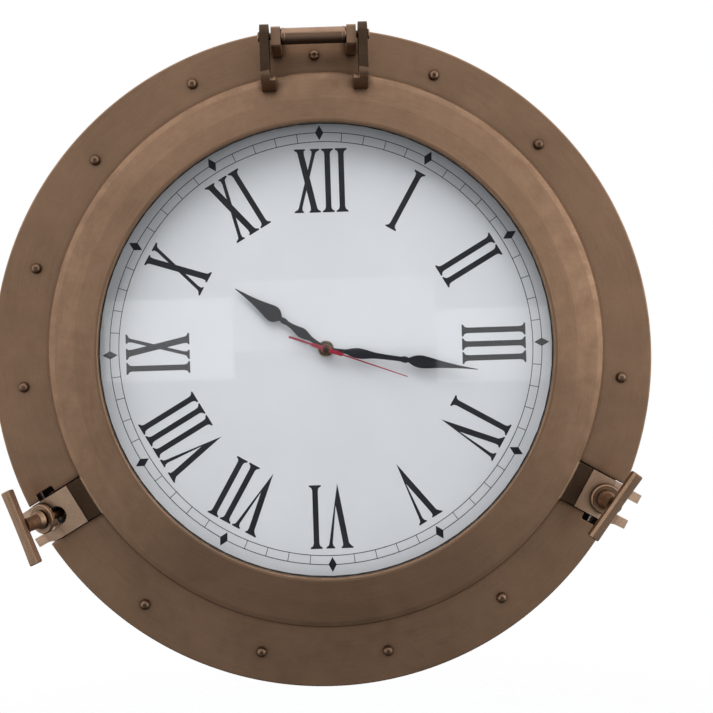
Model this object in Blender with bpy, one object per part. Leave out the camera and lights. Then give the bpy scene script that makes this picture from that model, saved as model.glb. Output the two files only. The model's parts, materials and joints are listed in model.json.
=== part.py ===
"""Ship's deck clock in a porthole case: a quartz dial clock behind a round glazed door that hinges at the top and is held down by two swing-bolt dogs.

Lengths are in millimetres in the clock's own frame: x to the right of the dial, y towards twelve o'clock, z out of the wall, with the hands' axis through the origin and the wall at z = 0. solid() turns that frame into metres with +Z up and the dial facing -Y.
"""

import math

import bmesh
import bpy
from mathutils import Matrix, Vector, geometry

MM = 0.001

for old in list(bpy.data.objects):
    bpy.data.objects.remove(old)

ROUND = 96  # segments of the large turned rings


# ---------------------------------------------------------------- helpers


def solid(name, verts, faces, place=None):
    """A mesh object from points in the clock's frame, or in a piece's own frame that place puts into it."""
    mesh = bpy.data.meshes.new(name)
    bm = bmesh.new()
    made = []
    for v in verts:
        p = place @ Vector(v) if place else Vector(v)
        made.append(bm.verts.new((p.x * MM, -p.z * MM, p.y * MM)))
    for f in faces:
        bm.faces.new([made[i] for i in f])
    # The exact Boolean takes a face as flat, and a rounded-off quad isn't.
    bmesh.ops.triangulate(bm, faces=bm.faces)
    bmesh.ops.recalc_face_normals(bm, faces=bm.faces)
    bm.to_mesh(mesh)
    bm.free()
    obj = bpy.data.objects.new(name, mesh)
    bpy.context.scene.collection.objects.link(obj)
    return obj


def turned(name, profile, n=ROUND, place=None, rim=(0, 0)):
    """A solid of revolution about z: profile is a closed loop of (radius, z), and radius 0 is on the axis. rim moves the circles wider than 230 mm off the axis."""
    verts, rows = [], []
    for r, z in profile:
        dx, dy = rim if r > 230 else (0, 0)
        if r == 0:
            rows.append([len(verts)] * n)
            verts.append((0, 0, z))
        else:
            rows.append([len(verts) + k for k in range(n)])
            for k in range(n):
                a = 2 * math.pi * k / n
                verts.append((r * math.sin(a) + dx, r * math.cos(a) + dy, z))
    faces = []
    for i, one in enumerate(rows):
        two = rows[(i + 1) % len(rows)]
        for k in range(n):
            m = (k + 1) % n
            face = []
            for v in (one[k], one[m], two[m], two[k]):
                if v not in face:
                    face.append(v)
            if len(face) > 2:
                faces.append(face)
    return solid(name, verts, faces, place)


def prism(name, outer, z0, z1, holes=(), place=None):
    """A flat outline with holes, extruded from z0 to z1."""
    loops = [list(outer)] + [list(h) for h in holes]
    points = [p for loop in loops for p in loop]
    n = len(points)
    caps = geometry.tessellate_polygon(
        [[Vector((x, y, 0)) for x, y in loop] for loop in loops]
    )
    verts = [(x, y, z0) for x, y in points] + [(x, y, z1) for x, y in points]
    faces = [tuple(t) for t in caps] + [tuple(i + n for i in t) for t in caps]
    start = 0
    for loop in loops:
        for i in range(len(loop)):
            a, b = start + i, start + (i + 1) % len(loop)
            faces.append((a, b, b + n, a + n))
        start += len(loop)
    return solid(name, verts, faces, place)


def box(name, x, y, z, place=None):
    return prism(
        name, [(x[0], y[0]), (x[1], y[0]), (x[1], y[1]), (x[0], y[1])], *z, place=place
    )


def circle(r, n=32, at=(0, 0), start=0.0, turn=360.0, ends=False):
    count = n + 1 if ends else n
    return [
        (
            at[0] + r * math.cos(math.radians(start + turn * k / n)),
            at[1] + r * math.sin(math.radians(start + turn * k / n)),
        )
        for k in range(count)
    ]


def rounded(w, h, r, n=4, at=(0, 0)):
    """The outline of a rectangle with rounded corners."""
    points = []
    for sx, sy, start in ((1, 1, 0), (-1, 1, 90), (-1, -1, 180), (1, -1, 270)):
        centre = (at[0] + sx * (w / 2 - r), at[1] + sy * (h / 2 - r))
        points += circle(r, n, centre, start, 90, ends=True)
    return points


def rod(name, r, z0, z1, n=24, at=(0, 0), place=None):
    return prism(name, circle(r, n, at), z0, z1, place=place)


def boolean(obj, others, operation):
    """One Boolean at a time, so that each reads a clean mesh."""
    for other in others:
        mod = obj.modifiers.new("cut", "BOOLEAN")
        mod.operation, mod.object = operation, other
        # The exact solver loses some turned pieces altogether; the manifold one holds there.
        for mod.solver in ("EXACT", "MANIFOLD"):
            bpy.context.view_layer.update()
            graph = bpy.context.evaluated_depsgraph_get()
            mesh = bpy.data.meshes.new_from_object(obj.evaluated_get(graph))
            if triangulate(mesh):
                break
        obj.modifiers.clear()
        obj.data = mesh
        bpy.data.objects.remove(other)
    return obj


def triangulate(mesh):
    """Splits the mesh's faces into triangles, and says whether it is closed."""
    bm = bmesh.new()
    bm.from_mesh(mesh)
    bmesh.ops.triangulate(bm, faces=bm.faces)
    bm.to_mesh(mesh)
    closed = len(bm.faces) > 0 and all(e.is_manifold for e in bm.edges)
    bm.free()
    return closed


def cut(obj, *others):
    return boolean(obj, others, "DIFFERENCE")


def join(obj, *others):
    return boolean(obj, others, "UNION")


def gear(teeth, root, tip):
    """A gear's outline, with pointed teeth."""
    step = 2 * math.pi / teeth
    return [
        (r * math.sin(step * (k + part)), r * math.cos(step * (k + part)))
        for k in range(teeth)
        for r, part in ((root, 0.0), (tip, 0.5))
    ]


def along_x():
    """The frame whose z runs along the clock's x."""
    return Matrix(((0, 0, 1), (1, 0, 0), (0, 1, 0))).to_4x4()


def at(x, y, z=0.0):
    return Matrix.Translation((x, y, z))


def radial(clock_deg):
    """The frame at a clock angle: x outward, y counter-clockwise, z out of the wall."""
    return Matrix.Rotation(math.radians(90 - clock_deg), 4, "Z")


# ---------------------------------------------------------------- the case

# Two notches in the mounting flange let the door's lugs in, at four and eight o'clock.
DOGS = {"right": 120, "left": 240}
LUG_HALF = 16.0  # half the lug's width
PIVOT_R, PIVOT_Z = 243.0, 8.5  # the dog's pivot
NOSE = 18.5  # the lug's rounded nose about that pivot
SLOT_HALF = 7.5  # half the fork's slot

# The mounting flange is cast a little off the dial's axis, low and to the left.
RIM = (-2.9, -6.5)

flange = turned(
    "flange_casting",
    [
        (254.0, 0.0),
        (254.0, 22.2),
        (253.5, 23.3),
        (252.4, 24.0),
        (188.0, 24.0),
        (187.2, 26.0),
        (182.4, 26.0),
        (181.6, 24.0),
        (178.0, 24.0),
        (178.0, 18.3),
        (173.5, 18.3),
        (173.5, 16.3),
        (178.0, 16.3),
        (178.0, 6.0),
        (182.0, 6.0),
        (182.0, 19.5),
        (248.5, 19.5),
        (249.5, 18.5),
        (249.5, 0.0),
    ],
    rim=RIM,
)

cutters = []
for side, angle in DOGS.items():
    place = radial(angle)
    gap = LUG_HALF + 0.5
    plan = [
        (197.0, -gap),
        (209.0, -gap - 4.5),
        (211.4, -gap - 4.5),
        (212.2, -gap - 2.2),
        (213.6, -gap - 0.7),
        (215.8, -gap),
        (270.0, -gap),
        (270.0, gap),
        (215.8, gap),
        (213.6, gap + 0.7),
        (212.2, gap + 2.2),
        (211.4, gap + 4.5),
        (209.0, gap + 4.5),
        (197.0, gap),
    ]
    cutters.append(prism("notch", plan, 1.83, 30.0, place=place))
    # The pocket for the pivot pin's head is on the lug's clockwise side.
    cutters.append(
        prism(
            "pocket",
            rounded(14.2, 11.0, 1.6, at=(PIVOT_R - 0.4, -gap)),
            2.6,
            30.0,
            place=place,
        )
    )

# Twelve screws round the flange, drilled by hand and not quite evenly.
SCREWS = [
    (-1.9, 226.5),
    (89.8, 208.2),
    (168.8, 152.4),
    (226.8, -29.3),
    (129.5, -195.9),
    (40.7, -234.0),
    (-56.8, -231.9),
    (-145.5, -192.6),
    (-233.6, -22.3),
    (-221.1, 68.9),
    (-173.2, 150.9),
    (-96.5, 207.3),
]
for point in SCREWS:
    cutters.append(rod("hole", 2.2, 15.0, 28.0, 12, point))

# Two bosses behind the front plate take the hanger's screws.
HANGER_Y, HANGER_X = 216.0, 21.0
bosses = [
    rod("boss", 5.0, 3.9, 20.5, 20, (s * HANGER_X, HANGER_Y)) for s in (-1, 1)
]
join(flange, *bosses)
for s in (-1, 1):
    cutters.append(rod("hole", 2.1, 0.0, 14.0, 12, (s * HANGER_X, HANGER_Y)))
cut(flange, *cutters)

for number, point in enumerate(SCREWS, 1):
    dome = [(0, 27.2), (1.4, 27.1), (2.7, 26.5), (3.6, 25.5), (4.0, 24.2)]
    turned(
        f"flange_screw_{number:02d}",
        dome + [(1.9, 24.2), (1.9, 11.4), (1.2, 10.6), (0, 10.6)],
        14,
        at(*point),
    )

# The hinge: two ears on the flange, a pin through them and a spacer sleeve between them.
HINGE_X, PIN_Y, PIN_Z = -2.0, 235.0, 46.0
ACROSS = Matrix.Translation((HINGE_X, 0, 0)) @ along_x()
for side, s in (("left", -1), ("right", 1)):
    ear = prism(
        f"hinge_ear_{side}",
        # outline in (y, z)
        [
            (225.4, 24.15),
            (241.0, 24.15),
            (241.4, 49.6),
            (239.6, 52.0),
            (227.4, 52.0),
            (225.6, 50.0),
        ],
        24.5 if s > 0 else -31.5,
        31.5 if s > 0 else -24.5,
        holes=[circle(2.7, 20, (PIN_Y, PIN_Z))],
        place=ACROSS,
    )
turned(
    "hinge_pin",
    [
        (0, -41.8),
        (2.9, -41.8),
        (3.7, -41.0),
        (3.7, -40.1),
        (2.5, -40.1),
        (2.5, 40.1),
        (3.7, 40.1),
        (3.7, 41.0),
        (2.9, 41.8),
        (0, 41.8),
    ],
    20,
    ACROSS @ at(PIN_Y, PIN_Z),
)
turned(
    "hinge_sleeve",
    [(2.7, -24.2), (5.6, -24.2), (6.2, -23.6), (6.2, 23.6), (5.6, 24.2), (2.7, 24.2)],
    28,
    ACROSS @ at(PIN_Y, PIN_Z),
)

# The steel hanger across the back, with a keyhole for the wall hook.
keyhole = circle(5.0, 20, (0, 206.0), 112, 316, ends=True)
keyhole += [(1.9, 210.8), (1.9, 217.0)] + circle(1.9, 8, (0, 217.0), 0, 180, ends=True)[
    1:
]
keyhole += [(-1.9, 210.8)]
strip = rounded(60.0, 44.0, 6.0, at=(0, 211.0))
prism(
    "hanger_bracket",
    strip,
    1.7,
    3.6,
    holes=[
        keyhole,
        circle(2.3, 14, (-HANGER_X, HANGER_Y)),
        circle(2.3, 14, (HANGER_X, HANGER_Y)),
    ],
)
for side, s in (("left", -1), ("right", 1)):
    turned(
        f"hanger_screw_{side}",
        [(0, 0.3), (3.2, 0.3), (3.8, 0.9), (3.8, 1.5), (1.8, 1.5), (1.8, 12.6), (0, 13.4)],
        16,
        at(s * HANGER_X, HANGER_Y),
    )

turned("dial_plate", [(4.4, 18.6), (177.3, 18.6), (177.3, 20.0), (4.4, 20.0)], 64)

# A sheet-metal back closes the case to its rim, with windows for the movement and the hanger.
prism(
    "back_cover",
    circle(249.1, 72, RIM),
    0.6,
    1.6,
    holes=[rounded(62.0, 62.0, 4.0), rounded(84.0, 58.0, 6.0, at=(0, 207.0))],
)

# ---------------------------------------------------------------- the quartz movement

WALL = 1.5
front = prism("movement_front", rounded(56, 56, 4), 10.2, 18.2)
front = join(front, rod("bush", 3.9, 17.0, 23.4, 24))
front = cut(
    front,
    prism("room", rounded(53, 53, 2.5), 9.0, 16.7),
    rod("bore", 2.8, 9.0, 25.0, 24),
)
KNOB = (-2.15, 14.6)
back = prism("movement_back", rounded(56, 56, 4), 2.0, 9.9)
back = cut(
    back,
    prism("room", rounded(53, 53, 2.5), 3.3, 11.0),
    prism("battery_bay", rounded(51, 15.4, 1.5, at=(0, -18.4)), 0.0, 5.0),
    rod("bore", 1.5, 0.0, 5.0, 16, KNOB),
    rod("rotor_seat", 0.9, 0.0, 5.0, 12, (-9.5, -3.45)),
)

turned("bush_washer", [(4.1, 20.2), (6.2, 20.2), (6.2, 20.9), (4.1, 20.9)], 28)
prism(
    "bush_nut",
    circle(5.8, 6, start=15),
    21.1,
    22.9,
    holes=[circle(4.1, 24)],
)

battery_at = along_x() @ at(-18.4, 9.4)
turned(
    "battery",
    [
        (0, -24.2),
        (6.2, -24.2),
        (7.0, -23.4),
        (7.0, 22.4),
        (6.2, 23.2),
        (2.6, 23.2),
        (2.6, 24.2),
        (0, 24.2),
    ],
    24,
    battery_at,
)
for sign, x in (("positive", 25.0), ("negative", -25.5)):
    box(f"battery_contact_{sign}", (x, x + 0.5), (-22.5, -14.5), (4.0, 14.6))

box("circuit_board", (17.8, 25.6), (-10.0, 24.0), (4.3, 5.3))
turned(
    "coil",
    [
        (0, -11.0),
        (3.9, -11.0),
        (3.9, -10.0),
        (3.2, -10.0),
        (3.2, 10.0),
        (3.9, 10.0),
        (3.9, 11.0),
        (0, 11.0),
    ],
    20,
    Matrix.Rotation(math.radians(-90), 4, "X") @ at(-20.5, -8.4, 6.0),
)
prism(
    "stator",
    [
        (-24.0, -8.6),
        (-14.2, -8.6),
        (-5.4, -6.8),
        (-5.4, -0.2),
        (-13.0, 0.8),
        (-14.6, 2.6),
        (-16.0, 2.6),
        (-16.0, -5.4),
        (-24.0, -5.4),
    ],
    10.3,
    11.1,
    holes=[circle(2.9, 20, (-9.5, -3.45))],
)

turned(
    "rotor",
    [
        (0, 2.4),
        (0.6, 2.4),
        (0.6, 3.5),
        (1.0, 3.5),
        (1.0, 4.9),
        (0.6, 4.9),
        (0.6, 8.5),
        (2.4, 8.5),
        (2.4, 11.7),
        (0.6, 11.7),
        (0.6, 13.4),
        (0, 13.4),
    ],
    16,
    at(-9.5, -3.45),
)

# The gear train. Pinions and wheels are one piece with their arbor, tooth tips just clear of each other.
second = prism("second_wheel", gear(60, 8.2, 8.8), 3.6, 4.4)
join(
    second,
    rod("arbor", 0.6, 3.4, 27.4, 12),
    prism("pinion", gear(8, 0.95, 1.45), 4.2, 6.5),
)
third_at = at(8.3, 4.8)
third = prism("third_wheel", gear(60, 7.4, 8.0), 5.2, 6.0, place=third_at)
join(
    third,
    rod("arbor", 0.5, 3.6, 12.4, 12, place=third_at),
    prism("pinion", gear(8, 0.95, 1.45), 5.8, 8.7, place=third_at),
)
centre = prism("centre_wheel", gear(64, 7.4, 8.0), 7.3, 8.1)
join(
    centre,
    rod("tube", 1.6, 6.9, 26.2, 20),
    prism("pinion", gear(12, 1.7, 2.3), 7.9, 10.5),
)
cut(centre, rod("bore", 0.85, 6.0, 27.0, 16))
mw_at = at(-6.7, 6.7)
minute_wheel = prism("minute_wheel", gear(36, 6.5, 7.1), 8.9, 9.7, place=mw_at)
join(
    minute_wheel,
    rod("arbor", 0.7, 6.2, 15.8, 12, place=mw_at),
    prism("pinion", gear(10, 1.3, 1.9), 9.5, 13.4, place=mw_at),
)
hour = prism("hour_wheel", gear(40, 6.9, 7.5), 12.0, 12.9)
join(hour, rod("tube", 2.55, 11.2, 24.2, 20))
cut(hour, rod("bore", 1.85, 10.0, 26.0, 16))
knob = rod("set_knob", 5.0, 0.4, 1.8, 24, KNOB)
join(
    knob,
    rod("spindle", 1.2, 1.0, 9.9, 12, KNOB),
    prism("pinion", gear(10, 1.4, 2.0), 8.7, 9.9, place=at(*KNOB)),
)


# ---------------------------------------------------------------- the hands


def hand(name, clock_deg, hub, hole, blade, z0, z1, tail=None):
    """A flat hand: a round hub, a blade given as (distance, half width), and perhaps a tail."""
    reach = math.degrees(math.asin(blade[0][1] / hub))
    right = [(w, r) for r, w in blade]
    left = [(-w, r) for r, w in reversed(blade)]
    outline = right + left
    if tail:
        turn = math.degrees(math.asin(tail[0][1] / hub))
        outline += circle(hub, 8, (0, 0), 90 + reach + 8, 180 - reach - turn - 16, True)
        outline += [(-w, -r) for r, w in tail] + [(w, -r) for r, w in reversed(tail)]
        outline += circle(hub, 8, (0, 0), -90 + turn + 8, 180 - reach - turn - 16, True)
    else:
        outline += circle(hub, 20, (0, 0), 90 + reach + 8, 360 - 2 * reach - 16, True)
    return prism(
        name,
        outline,
        z0,
        z1,
        holes=[circle(hole, 20)],
        place=Matrix.Rotation(math.radians(-clock_deg), 4, "Z"),
    )


HOUR_DEG, MINUTE_DEG, SECOND_DEG = 305.3, 99.4, 110.3
hand(
    "hour_hand",
    HOUR_DEG,
    5.2,
    2.7,
    [
        (5.0, 1.5),
        (14.0, 1.9),
        (18.5, 3.2),
        (22.5, 3.9),
        (26.0, 3.2),
        (31.0, 2.1),
        (36.0, 1.7),
        (38.0, 2.3),
        (40.0, 2.3),
        (41.5, 1.6),
        (43.0, 3.0),
        (45.5, 5.2),
        (48.5, 6.2),
        (52.0, 5.9),
        (58.0, 4.4),
        (68.0, 2.3),
        (84.0, 0.25),
    ],
    23.5,
    24.1,
)
hand(
    "minute_hand",
    MINUTE_DEG,
    4.6,
    1.75,
    [
        (4.4, 1.5),
        (15.0, 1.8),
        (19.5, 3.1),
        (25.0, 4.0),
        (31.0, 3.5),
        (38.0, 2.4),
        (50.0, 1.9),
        (58.0, 1.9),
        (60.5, 2.5),
        (62.5, 2.5),
        (64.0, 1.7),
        (66.0, 2.8),
        (70.0, 4.4),
        (74.5, 4.9),
        (80.0, 4.3),
        (90.0, 2.7),
        (104.0, 1.1),
        (118.0, 0.25),
    ],
    25.4,
    26.0,
)
second_hand = hand(
    "second_hand",
    SECOND_DEG,
    2.6,
    0.75,
    [(1.97, 1.7), (12.5, 1.5), (14.0, 0.6), (30.0, 0.5), (66.0, 0.35)],
    27.0,
    27.5,
    tail=[(1.97, 1.7), (11.0, 1.4), (12.5, 0.7), (30.0, 0.9)],
)
join(
    second_hand,
    turned(
        "cap",
        [(1.2, 27.3), (2.5, 27.3), (2.5, 28.2), (1.9, 28.8), (0, 29.0), (0, 27.7), (1.2, 27.7)],
        20,
    ),
)

# ---------------------------------------------------------------- the door

door_ring = turned(
    "door_ring",
    [
        (172.0, 35.4),
        (172.0, 39.3),
        (172.7, 40.1),
        (174.6, 40.3),
        (190.0, 38.7),
        (205.6, 36.5),
        (209.0, 35.6),
        (210.6, 34.0),
        (211.0, 32.4),
        (211.0, 26.4),
        (210.2, 25.4),
        (208.6, 25.2),
        (188.2, 25.2),
        (188.2, 28.8),
        (180.8, 28.8),
        (180.8, 28.2),
        (178.5, 28.2),
        (178.5, 35.4),
    ],
)
# The ring casting slopes down to each lug through a wedge.
wedges = [
    prism(
        "wedge",
        [(206.0, 25.5), (224.5, 25.5), (224.5, 27.0), (212.0, 32.8), (206.0, 32.8)],
        -LUG_HALF,
        LUG_HALF,
        place=radial(angle) @ Matrix(((1, 0, 0), (0, 0, -1), (0, 1, 0))).to_4x4(),
    )
    for angle in DOGS.values()
]
join(door_ring, *wedges)
turned("door_gasket", [(181.2, 26.4), (187.8, 26.4), (187.8, 28.6), (181.2, 28.6)], 64)
turned("glazing_seal", [(171.6, 34.2), (178.2, 34.2), (178.2, 35.2), (171.6, 35.2)], 64)
turned("glass", [(0, 31.0), (178.2, 31.0), (178.2, 34.0), (0, 34.0)], 64)
# A split spring ring under the glass, open by a few millimetres at six o'clock.
split = [
    (
        r * math.sin(math.radians(a)),
        r * math.cos(math.radians(a)),
    )
    for r, sweep in ((178.2, 1), (173.4, -1))
    for a in [178.6 - sweep * 357.2 * k / 60 + (0 if sweep > 0 else -357.2) for k in range(61)]
]
prism("retaining_ring", split, 29.0, 30.7)

for side, s in (("left", -1), ("right", 1)):
    outline = (
        [
            (196.3, 37.9),
            (203.2, 36.7),
            (206.6, 35.8),
            (209.0, 34.9),
            (211.0, 34.9),
            (217.0, 36.6),
            (226.0, 39.6),
        ]
        + circle(9.0, 14, (PIN_Y, PIN_Z), -118, 208, ends=True)
        + [(223.0, 55.2), (210.0, 54.9), (205.0, 53.6), (202.6, 51.6)]
    )
    arm = prism(
        f"hinge_arm_{side}",
        outline,
        33.2 if s > 0 else -39.8,
        39.8 if s > 0 else -33.2,
        holes=[circle(2.7, 20, (PIN_Y, PIN_Z))],
        place=ACROSS,
    )
    # The strap ends in a wider foot on the ring, on its inner side.
    foot = prism(
        "foot",
        [(196.3, 37.9), (205.5, 36.4), (205.5, 47.5), (201.8, 49.8)],
        29.2 if s > 0 else -34.0,
        34.0 if s > 0 else -29.2,
        place=ACROSS,
    )
    join(arm, foot)


def lug(side, angle):
    """A forked lug on the door: a flat top, a slot open outward, and a nose rounded about the dog's pivot, so that the dog's collar can swing over it, that runs out into two toes."""
    place = radial(angle)
    nose = [
        (
            PIVOT_R + NOSE * math.cos(math.radians(a)),
            PIVOT_Z + NOSE * math.sin(math.radians(a)),
        )
        for a in range(90, 44, -5)
    ]
    outline = (
        [(199.0, 24.9), (224.8, 24.9), (224.8, 27.0)]
        + nose
        + [(262.2, 14.0), (265.5, 11.4), (273.8, 9.8), (275.5, 8.0), (275.5, 5.0), (274.0, 3.4)]
        + [(236.0, 3.4)]
        + [(216.0, 12.0), (206.0, 21.6), (199.0, 21.6)]
    )
    # The outline lies in (outward, z); the sides are taken off by the tapered prism.
    upright = place @ Matrix(((1, 0, 0), (0, 0, 1), (0, 1, 0))).to_4x4()
    body = prism(f"door_lug_{side}", outline, -LUG_HALF - 1, LUG_HALF + 1, place=upright)
    section = [
        (-LUG_HALF, 40.0),
        (-LUG_HALF, 20.0),
        (-14.0, 2.0),
        (14.0, 2.0),
        (LUG_HALF, 20.0),
        (LUG_HALF, 40.0),
    ]
    across = place @ Matrix(((0, 0, 1), (1, 0, 0), (0, 1, 0))).to_4x4()
    boolean(body, [prism("taper", section, 190.0, 280.0, place=across)], "INTERSECT")
    pin_frame = across @ at(0, PIVOT_Z, PIVOT_R)
    cut(
        body,
        prism(
            "slot",
            circle(SLOT_HALF, 16, (PIVOT_R, 0), 90, 180, ends=True)
            + [(280, -SLOT_HALF), (280, SLOT_HALF)],
            0.0,
            40.0,
            place=place,
        ),
        box("eye_room", (236.3, 248.0), (-7.8, 7.8), (0.0, 16.5), place),
        rod(
            "bore",
            2.7,
            -20.0,
            20.0,
            20,
            place=pin_frame @ Matrix.Rotation(math.radians(90), 4, "Y"),
        ),
    )
    turned(
        f"pivot_pin_{side}",
        [
            (0, -18.4),
            (3.2, -18.4),
            (3.9, -17.7),
            (3.9, -16.3),
            (2.5, -16.3),
            (2.5, 15.2),
            (1.9, 15.8),
            (0, 15.8),
        ],
        20,
        pin_frame @ Matrix.Rotation(math.radians(90), 4, "Y"),
    )


def dog(side, angle, lean, tilt, lift, twist):
    """A swing bolt with its captive collar and T-handled nut, leaning outward about the pivot, tilted clockwise in its loose eye, and backed off by lift."""
    upright = (
        radial(angle)
        @ at(PIVOT_R, 0, PIVOT_Z)
        @ Matrix.Rotation(math.radians(lean), 4, "Y")
        @ Matrix.Rotation(math.radians(tilt), 4, "X")
    )
    eye = prism(
        f"swing_bolt_{side}",
        circle(5.6, 24),
        -6.1,
        6.1,
        place=upright @ Matrix.Rotation(math.radians(90), 4, "X"),
    )
    join(
        eye,
        turned("shank", [(0, 2.0), (4.0, 2.0), (4.0, 32.2), (3.2, 33.0), (0, 33.0)], 24, upright),
    )
    cut(
        eye,
        rod(
            "bore",
            3.8 if tilt else 2.8,
            -8.0,
            8.0,
            20,
            place=upright @ Matrix.Rotation(math.radians(90), 4, "X"),
        ),
    )
    raised = upright @ at(0, 0, lift)
    turned(
        f"clamp_collar_{side}",
        [
            (4.4, 18.8),
            (11.2, 18.8),
            (11.5, 19.1),
            (11.5, 20.6),
            (10.6, 21.5),
            (8.4, 21.9),
            (4.4, 21.9),
        ],
        32,
        raised,
    )
    turned_nut = raised @ Matrix.Rotation(math.radians(twist), 4, "Z")
    section = [(4.0 * abs(math.cos(t)) ** 0.7 * (1 if math.cos(t) > 0 else -1), 41.0 + 4.1 * abs(math.sin(t)) ** 0.7 * (1 if math.sin(t) > 0 else -1)) for t in [math.pi * (k + 0.5) / 8 for k in range(16)]]
    bar_frame = turned_nut @ Matrix(((1, 0, 0), (0, 0, 1), (0, 1, 0))).to_4x4()
    nut = turned(
        f"t_nut_{side}",
        [(0, 22.1), (6.9, 22.1), (7.2, 22.6), (6.6, 24.6), (5.6, 27.0), (5.4, 33.0), (6.0, 38.0), (0, 38.0)],
        28,
        turned_nut,
    )
    join(nut, prism("bar", section, -29.0, 29.0, place=bar_frame))
    cut(nut, rod("bore", 4.3, 20.0, 36.4, 24, place=turned_nut))


for side, angle in DOGS.items():
    lug(side, angle)
# The right dog is screwed down; the left one is backed off by a turn and leans outward.
dog("right", 120, 0.0, 0.0, 0.0, -6.9)
dog("left", 240, 25.0, 10.0, 3.0, -2.0)

# ---------------------------------------------------------------- shading

for obj in bpy.context.scene.collection.objects:
    if obj.type == "MESH":
        obj.data.shade_smooth()
        obj.data.set_sharp_from_angle(angle=math.radians(32))
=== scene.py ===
import json
import math

import bmesh
import bpy
from mathutils import Matrix, Vector, geometry, noise


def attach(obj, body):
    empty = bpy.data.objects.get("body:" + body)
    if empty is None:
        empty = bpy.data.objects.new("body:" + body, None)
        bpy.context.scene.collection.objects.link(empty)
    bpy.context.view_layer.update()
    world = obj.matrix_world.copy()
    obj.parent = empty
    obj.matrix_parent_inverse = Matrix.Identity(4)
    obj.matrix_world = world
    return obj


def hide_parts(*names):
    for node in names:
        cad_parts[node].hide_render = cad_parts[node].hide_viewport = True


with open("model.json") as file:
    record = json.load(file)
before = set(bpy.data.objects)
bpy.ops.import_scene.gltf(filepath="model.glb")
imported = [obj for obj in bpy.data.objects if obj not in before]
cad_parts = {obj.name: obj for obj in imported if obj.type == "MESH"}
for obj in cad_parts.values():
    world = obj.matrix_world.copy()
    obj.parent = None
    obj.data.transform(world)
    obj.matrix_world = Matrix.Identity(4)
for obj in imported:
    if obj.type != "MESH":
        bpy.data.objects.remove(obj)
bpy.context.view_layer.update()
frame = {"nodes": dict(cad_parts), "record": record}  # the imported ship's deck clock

MM = 0.001
RECORD = frame["record"]
BODY_OF = {n: b for b, ns in RECORD["behaviour"]["bodies"].items() for n in ns}
SLOT_OF = {row["node"]: row["material_slot"] for row in RECORD["subparts"]}

# Every shape below is in millimetres in the clock's own frame: x to the right of
# the dial, y towards twelve, z out of the wall, the hands' axis at the origin.
FRONT = 24.0  # the flange's front face
RING_R = 211.0  # the door ring's outer edge
DIAL_Z = 20.0  # the dial's face


# ------------------------------------------------------------------ materials

MATERIALS = {}


def times(colour, k):
    """The colour made k times as bright."""
    return tuple(c * k for c in colour)


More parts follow.
